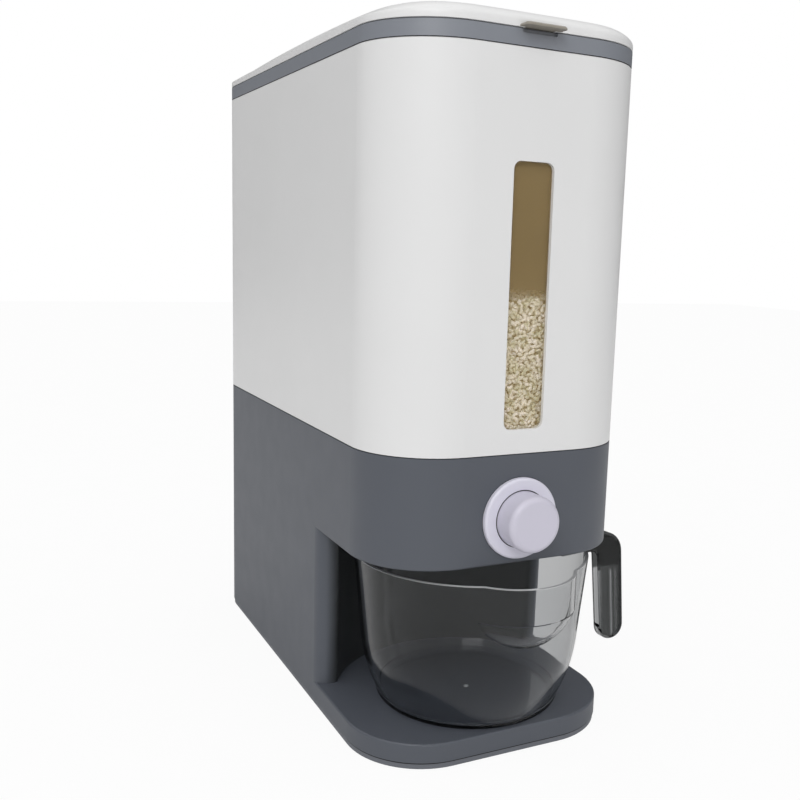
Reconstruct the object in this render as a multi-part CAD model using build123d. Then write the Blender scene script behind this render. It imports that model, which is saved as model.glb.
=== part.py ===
from build123d import *
import math
import os

# Countertop rice dispenser: a tall hinged-lid bin on a hooded base, a push button that
# slides a gate open under the bin, and a clear measuring cup with a spout and a channel
# handle that stands in the open bay. Millimetres, +Z up, front towards -Y.
# The origin is on the underside, at the centre of the body's outline.

# --- body outline -----------------------------------------------------------------------------
WIDTH = 165.1            # across the sides
DEPTH = 320.0            # front face to rear face
CORNER_R = 47.0          # plan radius of the two front corners
REAR_R = 25.0            # plan radius of the two rear corners

# --- heights, stacked from the floor up -------------------------------------------------------
PLATE_T = 4.0            # bottom plate
PLATFORM_H = 11.3        # cup platform above the bottom plate
BAY_H = 100.8            # open bay between platform and hood
HOOD_H = 62.5            # hood that holds button and gate
BIN_H = 214.4            # white bin wall
BAND_H = 9.0             # collar band
LID_H = 14.3             # lid above its seam
LID_GAP = 0.3            # seam between collar and lid

# --- walls and small gaps ---------------------------------------------------------------------
BASE_WALL = 2.5
BIN_WALL = 2.4
LID_WALL = 2.2
LAP_T = 2.2              # thickness of the skirts that lap inside a lower shell
LAP_GAP = 0.2            # lap skirt to the wall around it
SLIDE_GAP = 0.3          # between pieces that slide or lift past each other
SEAM_CHAMFER = 0.45      # edge break along the seams
EDGE_R = 1.2             # rounded edge of platform and hood
TOL = 0.01               # for picking edges and corners by place

# --- column behind the cup --------------------------------------------------------------------
OUTLET_IN = 60.0         # front face to the outlet, also the centre of the column's hollow
RECESS_R = 79.0          # hollow front of the column
COLUMN_IN = 97.0         # front face to the front of the column's two wings
WING_OUTER_R = 9.0
WING_INNER_R = 4.5

# --- bottom plate, pads and screws ------------------------------------------------------------
PLATE_INSET = 0.6        # plate outline inside the platform outline
PLATE_RIB_H = 4.0
PLATE_RIB_T = 1.8
PAD_R = 8.0
PAD_T = 2.0
PAD_X = 52.0
PAD_IN = 32.0            # pad centre from the front and rear faces
SCREW_HEAD_R = 2.8
SCREW_HEAD_H = 2.0
SCREW_R = 1.45
PILOT_GAP = 0.05         # screw shank to its hole
HEAD_GAP = 0.5           # screw head to its counterbore
BOSS_R = 5.5
PLATE_SCREW_LEN = 9.0
FRONT_BOSS_X = 68.0
FRONT_BOSS_IN = 38.0     # front bosses behind the front face
SIDE_BOSS_IN = 7.0       # side bosses: centre inside the outer side face
MID_BOSS_IN = 150.0      # side bosses in front of the rear face
REAR_BOSS_IN = 48.0
SIDE_BOSS_H = 26.0

# --- bin fixing lugs --------------------------------------------------------------------------
BIN_SKIRT_H = 12.5
BIN_BOSS_R = 4.4
BIN_BOSS_IN = 9.2        # centre of the lug inside the outer side face
BIN_BOSS_FRONT_IN = 120.0
BIN_BOSS_REAR_IN = 60.0
LUG_T = 4.5
BIN_SCREW_LEN = 15.0

# --- hopper floor -----------------------------------------------------------------------------
OUTLET_W = 44.0          # rice outlet, across
OUTLET_L = 13.0          # rice outlet, front to back
OUTLET_R = 2.5
NECK_T = 2.0
NECK_TOP = 34.0          # start of the slopes above the hood's underside
FRONT_SLOPE = 38.0       # degrees from the horizontal
SIDE_SLOPE = 45.0
REAR_SLOPE = 27.0
FUNNEL_T = 2.4
FUNNEL_GAP = 0.3         # hopper floor to the bin wall

# --- window -----------------------------------------------------------------------------------
WINDOW_W = 25.0
WINDOW_H = 143.5
WINDOW_LOW = 13.9        # lower edge above the bin's bottom edge
WINDOW_R = 4.5
PANE_T = 1.6             # flange of the pane, behind the wall
PANE_LAP = 4.5           # how far the flange reaches past the cut-out
PANE_RECESS = 1.2        # face of the pane behind the outer face
PANE_GAP = 0.15

# --- collar, lid and hinge --------------------------------------------------------------------
COLLAR_LIP = 9.0         # outer face to the mouth
COLLAR_SKIRT_H = 12.0
SEAL_SEAT = 5.0          # outer face to the seal's rebate
SEAL_DEPTH = 3.0
SEAL_T = 3.4             # radial thickness of the seal
LINER_T = 2.2
PLUG_T = 2.0
PLUG_H = 10.0
LID_EDGE_R = 9.5
LID_CROWN = 3.0          # rise of the lid's middle over its front and rear edges
HINGE_OUT = 2.4          # pin axis behind the rear face
KNUCKLE_R = 4.0
KNUCKLE_IN = 12.0        # half length of the lid's knuckle and its end gaps
KNUCKLE_OUT = 34.0       # outer end of the collar's knuckles
KNUCKLE_GAP = 0.3
PIN_R = 1.5
PIN_GAP = 0.05
TAB_W = 25.0             # finger tab, a thin lip just over the seam
TAB_OUT = 7.5
TAB_T = 1.5
TAB_R = 2.5
TAB_GAP = 0.15           # tab to its slot in the lid's wall
TONGUE_W = 18.0
TONGUE_T = 1.4           # upright of the tab behind the lid's wall
TONGUE_H = 3.0
NAIL_W = 21.0            # finger recess in the band under the tab
NAIL_H = 2.2
NAIL_D = 1.7
NAIL_R = 0.8

# --- push button and gate ---------------------------------------------------------------------
BUTTON_RISE = 26.2       # button axis above the hood's underside
TRAVEL = 14.0
RING_R = 23.2
RING_T = 3.2
SLEEVE_T = 2.7
SLEEVE_L = 14.0
NUT_R = 22.4
NUT_T = 4.0
CAP_R = 16.0
CAP_OUT = 19.0           # face of the cap in front of the body
CAP_LEN = 27.0
CAP_WALL = 2.2
CAP_EDGE_R = 3.6
CAP_BOSS_R = 6.2
CAP_BOSS_L = 7.0
ROD_R = 4.0
SPRING_R = 9.0
SPRING_WIRE = 1.2
SPRING_TURNS = 6
GUIDE_T = 2.5
GATE_T = 2.5
GATE_LAND = 1.5          # solid strip between the closed outlet and the gate's window
GATE_COVER = 5.5         # gate behind the closed outlet
RAIL_T = 2.5
RAIL_H = 9.9
NOZZLE_T = 3.0
SEAT_T = 2.5
SEAT_W = 26.0
SEAT_RISE = 11.0         # spring seat above the rod axis
UPRIGHT_GAP = 0.8        # gate's upright to the spring seat
STOP_GAP = 0.5           # gate's screw to the neck, with the button in
GATE_SIDE = 1.0          # gate past the neck on each side
ROD_BORE_L = 10.0        # screw hole in the rod's end
GATE_SCREW_LEN = 8.0
UPRIGHT_T = 2.5
UPRIGHT_W = 16.0
EAR_W = 9.0
EAR_SPREAD = 18.0        # screw ears before and behind the outlet's centre

# --- measuring cup ----------------------------------------------------------------------------
CUP_TURN = 4.0           # degrees, the cup as it was set down
CUP_ASIDE = 1.5          # and how far beside and in front of the outlet it stands
CUP_AHEAD = 3.0
CUP_HEADROOM = 8.1       # rim to the hood's underside
CUP_FLOOR_R = 53.4
CUP_KNEE_R = 55.7
CUP_KNEE_Z = 1.3
CUP_HEEL_R = 56.9
CUP_HEEL_Z = 5.0
CUP_BELLY_R = 63.4
CUP_BELLY_Z = 21.5
CUP_WAIST_R = 67.2
CUP_WAIST_Z = 41.0
CUP_RIM_R = 72.0
CUP_T = 1.9
SPOUT_OFF = 42.2         # centre of the spout's round from the cup's axis
SPOUT_R = 38.8
SPOUT_Z = 71.0           # where the spout's wall starts to curve in
SPOUT_DROP = 24.0        # depth of that curve
HANDLE_REACH = 125.4     # outer face of the handle from the cup's axis
HANDLE_LEAN = 7.0        # the grip stands this much further out at its foot
HANDLE_TOP = 89.4        # above the cup's underside
HANDLE_FOOT = 13.0       # lower end above the cup's underside
HANDLE_W = 10.0
GRIP_DEPTH = 20.0
ARM_DEPTH = 12.0
HANDLE_BEND_R = 15.0
HANDLE_BEND_IN_R = 5.0
HANDLE_T = 2.3
HANDLE_EDGE_R = 3.0
GRIP_FOOT_FLAT = 0.5     # left between the two rounds of the grip's foot

# --- levels worked out from the stack ---------------------------------------------------------
PLATFORM_TOP = PLATE_T + PLATFORM_H
BAY_TOP = PLATFORM_TOP + BAY_H
PANEL_TOP = BAY_TOP + BASE_WALL
BASE_TOP = BAY_TOP + HOOD_H
BIN_TOP = BASE_TOP + BIN_H
COLLAR_TOP = BIN_TOP + BAND_H
LID_LOW = COLLAR_TOP + LID_GAP
LID_TOP = LID_LOW + LID_H
FRONT_Y = -DEPTH / 2
REAR_Y = DEPTH / 2
SIDE_X = WIDTH / 2
BUTTON_Z = BAY_TOP + BUTTON_RISE
HINGE_Y = REAR_Y + HINGE_OUT
HINGE_Z = COLLAR_TOP + LID_GAP / 2
OUTLET_Y = FRONT_Y + OUTLET_IN
COLUMN_FRONT_Y = FRONT_Y + COLUMN_IN
OUTLET_FRONT = OUTLET_Y - OUTLET_L / 2
OUTLET_REAR = OUTLET_Y + OUTLET_L / 2
SLOPE_Z = BAY_TOP + NECK_TOP
SLOPE_TOP = SLOPE_Z + DEPTH * math.tan(math.radians(REAR_SLOPE))
GATE_LOW = PANEL_TOP + GUIDE_T + SLIDE_GAP
GATE_TOP = GATE_LOW + GATE_T
NECK_LOW = GATE_TOP + SLIDE_GAP
# the gate's upright and its screw stop just in front of the neck when the button is in
UPRIGHT_Y = OUTLET_FRONT - NECK_T - STOP_GAP - TRAVEL - SCREW_HEAD_H - UPRIGHT_T
SEAT_Y = UPRIGHT_Y - UPRIGHT_GAP - SEAT_T
GATE_HALF = OUTLET_W / 2 + NECK_T + GATE_SIDE
RAIL_IN = GATE_HALF + SLIDE_GAP
CAP_FACE_Y = FRONT_Y - CAP_OUT
CUP_LOW = PLATFORM_TOP + SLIDE_GAP
CUP_H = BAY_TOP - CUP_HEADROOM - CUP_LOW


# --- shared helpers ---------------------------------------------------------------------------
def outline(inset):
    """The body's plan outline, drawn in by inset."""
    plan = Rectangle(WIDTH - 2 * inset, DEPTH - 2 * inset)
    plan = fillet([v for v in plan.vertices() if v.Y < 0], CORNER_R - inset)
    return fillet(plan.vertices().filter_by_position(Axis.Y, REAR_Y - inset - TOL, REAR_Y), REAR_R - inset)


def prism(inset, low, high):
    """A solid block on the body's outline, between two heights."""
    return extrude(Plane.XY.offset(low) * outline(inset), high - low)


def wall(outer, inner, low, high):
    """A ring wall between two insets of the outline."""
    return prism(outer, low, high) - prism(inner, low, high)


def rod_z(radius, low, high, x=0.0, y=0.0):
    """An upright round bar."""
    return Pos(x, y, low) * extrude(Circle(radius), high - low)


def rod_y(radius, front, back, x=0.0, z=0.0):
    """A round bar along Y, from front to back."""
    return extrude(Plane((x, front, z), x_dir=(1, 0, 0), z_dir=(0, 1, 0)) * Circle(radius), back - front)


def rod_x(radius, left, right, y, z):
    """A round bar along X."""
    return extrude(Plane((left, y, z), x_dir=(0, 1, 0), z_dir=(1, 0, 0)) * Circle(radius), right - left)


def block(x0, x1, y0, y1, z0, z1):
    """A block between six faces."""
    centre = Pos((x0 + x1) / 2, (y0 + y1) / 2, (z0 + z1) / 2)
    return centre * Box(x1 - x0, y1 - y0, z1 - z0)


def slot_block(width, length, radius, low, high):
    """An upright block with rounded corners over the outlet's centre."""
    return Pos(0, OUTLET_Y, low) * extrude(RectangleRounded(width, length, radius), high - low)


def screw_up(x, y, head_low, length):
    """A pan-head screw that points up."""
    shank = rod_z(SCREW_R, head_low + SCREW_HEAD_H, head_low + SCREW_HEAD_H + length, x, y)
    return rod_z(SCREW_HEAD_R, head_low, head_low + SCREW_HEAD_H, x, y) + shank


def edges_at(shape, height):
    """The edges that lie flat at one height."""
    return shape.edges().filter_by_position(Axis.Z, height - TOL, height + TOL)


def group(solids):
    """Several loose solids as one set."""
    return Compound(children=list(solids))


def mirrored_x(x, ys):
    """Places at plus and minus x for each y."""
    return [(side * x, y) for y in ys for side in (-1, 1)]


FRONT_SCREWS = mirrored_x(FRONT_BOSS_X, (FRONT_Y + FRONT_BOSS_IN,))
SIDE_SCREWS = mirrored_x(SIDE_X - SIDE_BOSS_IN, (REAR_Y - MID_BOSS_IN, REAR_Y - REAR_BOSS_IN))
PLATE_SCREWS = FRONT_SCREWS + SIDE_SCREWS
BIN_SCREWS = mirrored_x(SIDE_X - BIN_BOSS_IN, (FRONT_Y + BIN_BOSS_FRONT_IN, REAR_Y - BIN_BOSS_REAR_IN))
PAD_PLACES = mirrored_x(PAD_X, (FRONT_Y + PAD_IN, REAR_Y - PAD_IN))
EAR_X = RAIL_IN + RAIL_T + EAR_W / 2
EAR_PLACES = mirrored_x(EAR_X, (OUTLET_Y - EAR_SPREAD, OUTLET_Y + EAR_SPREAD))
EAR_LOW = PANEL_TOP + RAIL_H - GUIDE_T


# --- base -------------------------------------------------------------------------------------
def column_plan(inset):
    """Plan of the column: a C round the back of the cup, drawn in by inset."""
    front = COLUMN_FRONT_Y + inset
    rear_half = Pos(0, (front + REAR_Y) / 2) * Rectangle(WIDTH, REAR_Y - front)
    plan = (outline(inset) & rear_half) - Pos(0, OUTLET_Y) * Circle(RECESS_R + inset)
    tips = plan.vertices().filter_by_position(Axis.Y, front - TOL, front + TOL)
    outer = [v for v in tips if abs(v.X) > SIDE_X - inset - TOL]
    plan = fillet(outer, WING_OUTER_R - inset)
    tips = plan.vertices().filter_by_position(Axis.Y, front - TOL, front + TOL)
    inner = [v for v in tips if math.hypot(v.X, v.Y - OUTLET_Y) < RECESS_R + inset + TOL]
    return fillet(inner, WING_INNER_R - inset / 2)


def base_housing():
    """Hood, column and cup platform, moulded as one shell open at top and bottom."""
    platform = prism(0, PLATE_T, PLATFORM_TOP)
    platform = fillet(edges_at(platform, PLATFORM_TOP), EDGE_R)
    hood = prism(0, BAY_TOP, BASE_TOP)
    hood = fillet(edges_at(hood, BAY_TOP), EDGE_R)
    hood = chamfer(edges_at(hood, BASE_TOP), SEAM_CHAMFER)
    column = extrude(Plane.XY.offset(PLATE_T) * column_plan(0), BAY_TOP + 2 * EDGE_R - PLATE_T)
    shell = platform + hood + column
    shell -= prism(BASE_WALL, PLATE_T, PLATFORM_TOP - BASE_WALL)
    shell -= prism(BASE_WALL, PANEL_TOP, BASE_TOP)
    hollow = column_plan(BASE_WALL)
    shell -= extrude(Plane.XY.offset(PLATE_T) * hollow, BASE_TOP - PLATE_T)

    # bosses for the bottom plate's screws
    for x, y in PLATE_SCREWS:
        top = PLATFORM_TOP - BASE_WALL / 2 if y < COLUMN_FRONT_Y else PLATE_T + SIDE_BOSS_H
        shell += rod_z(BOSS_R, PLATE_T, top, x, y) & prism(BASE_WALL / 2, PLATE_T, top)
    # lugs that carry the bin's screws
    skirt_low = BASE_TOP - BIN_SKIRT_H
    for x, y in BIN_SCREWS:
        lug = rod_z(BOSS_R, skirt_low - LUG_T, skirt_low, x, y)
        side = SIDE_X if x > 0 else -SIDE_X
        lug += block(min(x, side), max(x, side), y - BOSS_R, y + BOSS_R, skirt_low - LUG_T, skirt_low)
        shell += lug & prism(BASE_WALL / 2, skirt_low - LUG_T, skirt_low)
    # posts under the gate guide's ears
    for x, y in EAR_PLACES:
        shell += rod_z(EAR_W / 2, PANEL_TOP - BASE_WALL / 2, EAR_LOW, x, y)

    hole = SCREW_R + PILOT_GAP
    for x, y in PLATE_SCREWS:
        shell -= rod_z(hole, PLATE_T, SCREW_HEAD_H + PLATE_SCREW_LEN + HEAD_GAP, x, y)
    for x, y in BIN_SCREWS:
        shell -= rod_z(hole + PILOT_GAP, skirt_low - LUG_T, skirt_low, x, y)
    for x, y in EAR_PLACES:
        shell -= rod_z(hole, PANEL_TOP, EAR_LOW, x, y)
    shell -= slot_block(
        OUTLET_W + 2 * NOZZLE_T, OUTLET_L + 2 * NOZZLE_T, OUTLET_R + NOZZLE_T, BAY_TOP, PANEL_TOP
    )
    shell -= rod_y(CAP_R + SLIDE_GAP + SLEEVE_T, FRONT_Y, FRONT_Y + BASE_WALL, z=BUTTON_Z)
    return shell


def base_plate():
    """Plate that closes the base, with a locating rib, pad pockets and screw wells."""
    plate = chamfer(edges_at(prism(PLATE_INSET, 0, PLATE_T), 0), SEAM_CHAMFER)
    rib_in = BASE_WALL + SLIDE_GAP
    rib = wall(rib_in, rib_in + PLATE_RIB_T, PLATE_T, PLATE_T + PLATE_RIB_H)
    for x, y in PLATE_SCREWS:
        rib -= rod_z(BOSS_R + SLIDE_GAP, PLATE_T, PLATE_T + PLATE_RIB_H, x, y)
    plate += rib
    for x, y in PAD_PLACES:
        plate -= rod_z(PAD_R, 0, PAD_T, x, y)
    for x, y in PLATE_SCREWS:
        plate -= rod_z(SCREW_HEAD_R + HEAD_GAP, 0, SCREW_HEAD_H + PILOT_GAP, x, y)
        plate -= rod_z(SCREW_R + HEAD_GAP, 0, PLATE_T, x, y)
    return plate


def foot_pads():
    """Four rubber pads in the plate's pockets."""
    return group(rod_z(PAD_R, 0, PAD_T, x, y) for x, y in PAD_PLACES)


def plate_screws():
    """Screws through the bottom plate, heads just inside its wells."""
    return group(screw_up(x, y, PILOT_GAP, PLATE_SCREW_LEN) for x, y in PLATE_SCREWS)


# --- bin --------------------------------------------------------------------------------------
def bin_shell():
    """White bin wall with a lap skirt, a window cut-out and screw bosses."""
    skirt_in = BASE_WALL + LAP_GAP
    skirt_low = BASE_TOP - BIN_SKIRT_H
    body = prism(0, BASE_TOP, BIN_TOP)
    body = chamfer(edges_at(body, BASE_TOP) + edges_at(body, BIN_TOP), SEAM_CHAMFER)
    body += prism(skirt_in, skirt_low, BASE_TOP)
    body -= prism(skirt_in + LAP_T, skirt_low, BASE_TOP + LAP_T)
    body -= prism(BIN_WALL, BASE_TOP + LAP_T, BIN_TOP)
    for x, y in BIN_SCREWS:
        body += rod_z(BIN_BOSS_R, skirt_low, BASE_TOP + LAP_T, x, y)
        body -= rod_z(SCREW_R + PILOT_GAP, skirt_low, skirt_low + BIN_SCREW_LEN - LUG_T + PILOT_GAP, x, y)
    body -= window_block(WINDOW_W, WINDOW_H, WINDOW_R, FRONT_Y, FRONT_Y + BIN_WALL)
    return body


def window_block(width, height, radius, front, back):
    """A rounded upright block centred on the window."""
    middle = BASE_TOP + WINDOW_LOW + WINDOW_H / 2
    face = Plane((0, front, middle), x_dir=(1, 0, 0), z_dir=(0, 1, 0))
    return extrude(face * RectangleRounded(width, height, radius), back - front)


def window_pane():
    """Clear pane: a flange behind the wall and a raised face in the cut-out."""
    inner = FRONT_Y + BIN_WALL
    lap = 2 * PANE_LAP
    flange = window_block(WINDOW_W + lap, WINDOW_H + lap, WINDOW_R + PANE_LAP, inner, inner + PANE_T)
    gap = 2 * PANE_GAP
    return flange + window_block(
        WINDOW_W - gap, WINDOW_H - gap, WINDOW_R - PANE_GAP, FRONT_Y + PANE_RECESS, inner + PANE_T
    )


def bin_screws():
    """Screws that draw the bin down on the base's lugs."""
    head_low = BASE_TOP - BIN_SKIRT_H - LUG_T - SCREW_HEAD_H
    return group(screw_up(x, y, head_low, BIN_SCREW_LEN) for x, y in BIN_SCREWS)


def slope_space(grow):
    """The hopper's sloping space above the outlet, its faces moved out square by grow."""
    def across(left, left_angle, right, right_angle):
        def out(start, angle, level):
            slope = math.radians(angle)
            return start + grow / math.sin(slope) + (level - SLOPE_Z) / math.tan(slope)

        corners = [(out(right, right_angle, z), z) for z in (SLOPE_Z, SLOPE_TOP)]
        corners += [(-out(left, left_angle, z), z) for z in (SLOPE_TOP, SLOPE_Z)]
        return make_face(Polyline(*corners, close=True))

    side_to_side = across(OUTLET_W / 2, SIDE_SLOPE, OUTLET_W / 2, SIDE_SLOPE)
    front_to_back = across(-OUTLET_FRONT, FRONT_SLOPE, OUTLET_REAR, REAR_SLOPE)
    space = extrude(Plane.XZ * side_to_side, DEPTH, both=True)
    return space & extrude(Plane.YZ * front_to_back, WIDTH, both=True)


def hopper_floor():
    """Four slopes that lead the rice down to a neck over the gate."""
    inset = BIN_WALL + FUNNEL_GAP
    neck_in = slot_block(OUTLET_W, OUTLET_L, OUTLET_R, NECK_LOW, SLOPE_TOP)
    neck_out = slot_block(
        OUTLET_W + 2 * NECK_T, OUTLET_L + 2 * NECK_T, OUTLET_R + NECK_T, NECK_LOW, SLOPE_Z + NECK_T
    )
    slopes = slope_space(FUNNEL_T) & prism(inset, SLOPE_Z, SLOPE_TOP)
    floor = slopes + neck_out
    floor -= slope_space(0)
    floor -= neck_in
    # clear of the pane's flange behind the front wall
    grow = 2 * (PANE_LAP + SLIDE_GAP)
    back = FRONT_Y + BIN_WALL + PANE_T + SLIDE_GAP
    return floor - window_block(WINDOW_W + grow, WINDOW_H + grow, WINDOW_R + grow / 2, FRONT_Y, back)


# --- collar and lid ---------------------------------------------------------------------------
def rim_collar():
    """Band round the bin's mouth: seal rebate, finger recess and the rear hinge knuckles."""
    skirt_in = BIN_WALL + LAP_GAP
    band = prism(0, BIN_TOP, COLLAR_TOP)
    band = chamfer(edges_at(band, BIN_TOP) + edges_at(band, COLLAR_TOP), SEAM_CHAMFER)
    band -= prism(COLLAR_LIP, BIN_TOP, COLLAR_TOP)
    band -= prism(SEAL_SEAT, COLLAR_TOP - SEAL_DEPTH, COLLAR_TOP)
    nail = block(-NAIL_W / 2, NAIL_W / 2, FRONT_Y, FRONT_Y + NAIL_D, COLLAR_TOP - NAIL_H, COLLAR_TOP)
    low_ends = edges_at(nail, COLLAR_TOP - NAIL_H).filter_by(Axis.Y)
    band -= fillet(low_ends, NAIL_R)
    band += wall(skirt_in, skirt_in + LAP_T, BIN_TOP - COLLAR_SKIRT_H, BIN_TOP)
    for side in (-1, 1):
        ends = sorted((side * (KNUCKLE_IN + KNUCKLE_GAP), side * KNUCKLE_OUT))
        band += rod_x(KNUCKLE_R, ends[0], ends[1], HINGE_Y, HINGE_Z)
        web_rear = HINGE_Y + KNUCKLE_R / 2
        band += block(*ends, REAR_Y - SEAL_SEAT / 2, web_rear, BIN_TOP + EDGE_R, COLLAR_TOP - EDGE_R)
    # room for the lid's knuckle
    room = KNUCKLE_IN + KNUCKLE_GAP
    band -= rod_x(KNUCKLE_R + KNUCKLE_GAP, -room, room, HINGE_Y, HINGE_Z)
    return band - rod_x(PIN_R + PIN_GAP, -KNUCKLE_OUT, KNUCKLE_OUT, HINGE_Y, HINGE_Z)


def hinge_pin():
    """Steel pin through the collar's and the lid's knuckles."""
    return rod_x(PIN_R, -KNUCKLE_OUT, KNUCKLE_OUT, HINGE_Y, HINGE_Z)


def lid_top():
    """Crowned white lid with rounded edges, a rear knuckle and a slot for the tab."""
    lid = prism(0, LID_LOW, LID_TOP)
    crown_r = (DEPTH / 2) ** 2 / (2 * LID_CROWN)
    lid &= Pos(0, 0, LID_TOP - crown_r) * Sphere(crown_r)
    rim = [e for e in lid.edges() if e.center().Z > LID_LOW + LID_H / 2]
    lid = fillet(rim, LID_EDGE_R)
    lid = chamfer(edges_at(lid, LID_LOW), SEAM_CHAMFER / 2)
    pocket = prism(LID_WALL, LID_LOW, LID_TOP - LID_CROWN - LID_WALL)
    pocket = fillet(edges_at(pocket, LID_TOP - LID_CROWN - LID_WALL), LID_EDGE_R - LID_WALL)
    lid -= pocket

    # hinge: notch round the collar's knuckles, own knuckle between them
    for side in (-1, 1):
        ends = sorted((side * KNUCKLE_IN, side * (KNUCKLE_OUT + KNUCKLE_GAP)))
        lid -= rod_x(KNUCKLE_R + KNUCKLE_GAP, ends[0], ends[1], HINGE_Y, HINGE_Z)
    lid += rod_x(KNUCKLE_R, -KNUCKLE_IN, KNUCKLE_IN, HINGE_Y, HINGE_Z)
    lid -= rod_x(PIN_R + PIN_GAP, -KNUCKLE_IN, KNUCKLE_IN, HINGE_Y, HINGE_Z)
    return lid - tab_plate(TONGUE_W, TAB_GAP)


LINER_TOP = LID_LOW + LINER_T


def lid_liner():
    """Panel inside the lid with the plug wall that enters the mouth."""
    panel = prism(LID_WALL + LAP_GAP, LID_LOW, LINER_TOP)
    plug_in = COLLAR_LIP + SLIDE_GAP
    panel += wall(plug_in, plug_in + PLUG_T, LID_LOW - PLUG_H, LID_LOW)
    for side in (-1, 1):
        ends = sorted((side * KNUCKLE_IN, side * (KNUCKLE_OUT + KNUCKLE_GAP)))
        panel -= rod_x(KNUCKLE_R + KNUCKLE_GAP, ends[0], ends[1], HINGE_Y, HINGE_Z)
    # room for the tab's upright
    half = TONGUE_W / 2 + TAB_GAP
    return panel - block(-half, half, FRONT_Y, TONGUE_REAR + TAB_GAP, LID_LOW, LINER_TOP)


def lid_seal():
    """Soft ring round the plug, over the collar's rebate."""
    outer = COLLAR_LIP + SLIDE_GAP - SEAL_T
    return wall(outer, COLLAR_LIP + SLIDE_GAP, COLLAR_TOP - SEAL_DEPTH + SLIDE_GAP, LID_LOW)


TAB_LOW = LID_LOW + TAB_GAP
TONGUE_REAR = FRONT_Y + LID_WALL + TAB_GAP + TONGUE_T


def tab_plate(width, grow):
    """The tab's flat lip from its front edge back to the upright, or with grow the slot for it."""
    half = width / 2 + grow
    return block(-half, half, FRONT_Y - TAB_OUT, TONGUE_REAR, TAB_LOW - grow, TAB_LOW + TAB_T + grow)


def lid_tab():
    """Finger tab: a thin lip over the seam, hooked behind the lid's wall."""
    front = FRONT_Y - TAB_OUT
    lip = block(-TAB_W / 2, TAB_W / 2, front, FRONT_Y, TAB_LOW, TAB_LOW + TAB_T)
    lip = fillet(lip.edges().filter_by(Axis.Z).filter_by_position(Axis.Y, front - TOL, front + TOL), TAB_R)
    rim = edges_at(lip, TAB_LOW + TAB_T).filter_by_position(Axis.Y, front - TOL, FRONT_Y - TOL)
    lip = chamfer(rim, TAB_T / 2)
    upright = block(
        -TONGUE_W / 2, TONGUE_W / 2, TONGUE_REAR - TONGUE_T, TONGUE_REAR, TAB_LOW, TAB_LOW + TONGUE_H
    )
    return lip + (tab_plate(TONGUE_W, 0) & prism(0, TAB_LOW, LID_TOP)) + upright


# --- button and gate --------------------------------------------------------------------------
def button_ring():
    """Ring on the front face with the sleeve that guides the button."""
    face = FRONT_Y - RING_T
    ring = rod_y(RING_R, face, FRONT_Y, z=BUTTON_Z)
    rim = ring.edges().filter_by_position(Axis.Y, face - TOL, face + TOL)
    ring = fillet(rim, RING_T / 2)
    bore = CAP_R + SLIDE_GAP
    ring += rod_y(bore + SLEEVE_T - PANE_GAP, FRONT_Y, FRONT_Y + SLEEVE_L, z=BUTTON_Z)
    return ring - rod_y(bore, face, FRONT_Y + SLEEVE_L, z=BUTTON_Z)


def ring_nut():
    """Nut that clamps the ring's sleeve behind the front wall."""
    low = FRONT_Y + BASE_WALL
    nut = rod_y(NUT_R, low, low + NUT_T, z=BUTTON_Z)
    for turn in range(6):
        angle = math.radians(60 * turn)
        nut -= rod_y(
            SLEEVE_T, low, low + NUT_T, x=NUT_R * math.cos(angle), z=BUTTON_Z + NUT_R * math.sin(angle)
        )
    return nut - rod_y(CAP_R + SLIDE_GAP + SLEEVE_T, low, low + NUT_T, z=BUTTON_Z)


def button_cap():
    """Round push button: a hollow cap with a boss that grips the rod."""
    back = CAP_FACE_Y + CAP_LEN
    cap = rod_y(CAP_R, CAP_FACE_Y, back, z=BUTTON_Z)
    cap = fillet(cap.edges().filter_by_position(Axis.Y, CAP_FACE_Y - TOL, CAP_FACE_Y + TOL), CAP_EDGE_R)
    cap -= rod_y(CAP_R - CAP_WALL, CAP_FACE_Y + CAP_EDGE_R, back, z=BUTTON_Z)
    cap += rod_y(CAP_BOSS_R, CAP_FACE_Y + CAP_EDGE_R, CAP_FACE_Y + CAP_EDGE_R + CAP_BOSS_L, z=BUTTON_Z)
    return cap - rod_y(ROD_R, CAP_FACE_Y + CAP_EDGE_R, back, z=BUTTON_Z)


def push_rod():
    """Rod from the cap to the gate's upright."""
    rod = rod_y(ROD_R, CAP_FACE_Y + CAP_EDGE_R, UPRIGHT_Y, z=BUTTON_Z)
    return rod - rod_y(SCREW_R + PILOT_GAP, UPRIGHT_Y - ROD_BORE_L, UPRIGHT_Y, z=BUTTON_Z)


def gate_plate():
    """Sliding gate: a flat plate with a window, and an upright at its front end."""
    plate = block(-GATE_HALF, GATE_HALF, UPRIGHT_Y, OUTLET_REAR + GATE_COVER, GATE_LOW, GATE_TOP)
    window_y = OUTLET_FRONT - GATE_LAND - OUTLET_L / 2
    plate -= Pos(0, window_y, GATE_LOW) * extrude(RectangleRounded(OUTLET_W, OUTLET_L, OUTLET_R), GATE_T)
    top = BUTTON_Z + ROD_R + UPRIGHT_T
    plate += block(-UPRIGHT_W / 2, UPRIGHT_W / 2, UPRIGHT_Y, UPRIGHT_Y + UPRIGHT_T, GATE_LOW, top)
    return plate - rod_y(SCREW_R + HEAD_GAP, UPRIGHT_Y, UPRIGHT_Y + UPRIGHT_T, z=BUTTON_Z)


def gate_screw():
    """Screw that fixes the gate's upright to the rod."""
    head = UPRIGHT_Y + UPRIGHT_T
    screw = rod_y(SCREW_HEAD_R, head, head + SCREW_HEAD_H, z=BUTTON_Z)
    return screw + rod_y(SCREW_R, UPRIGHT_Y - GATE_SCREW_LEN, head, z=BUTTON_Z)


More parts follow.
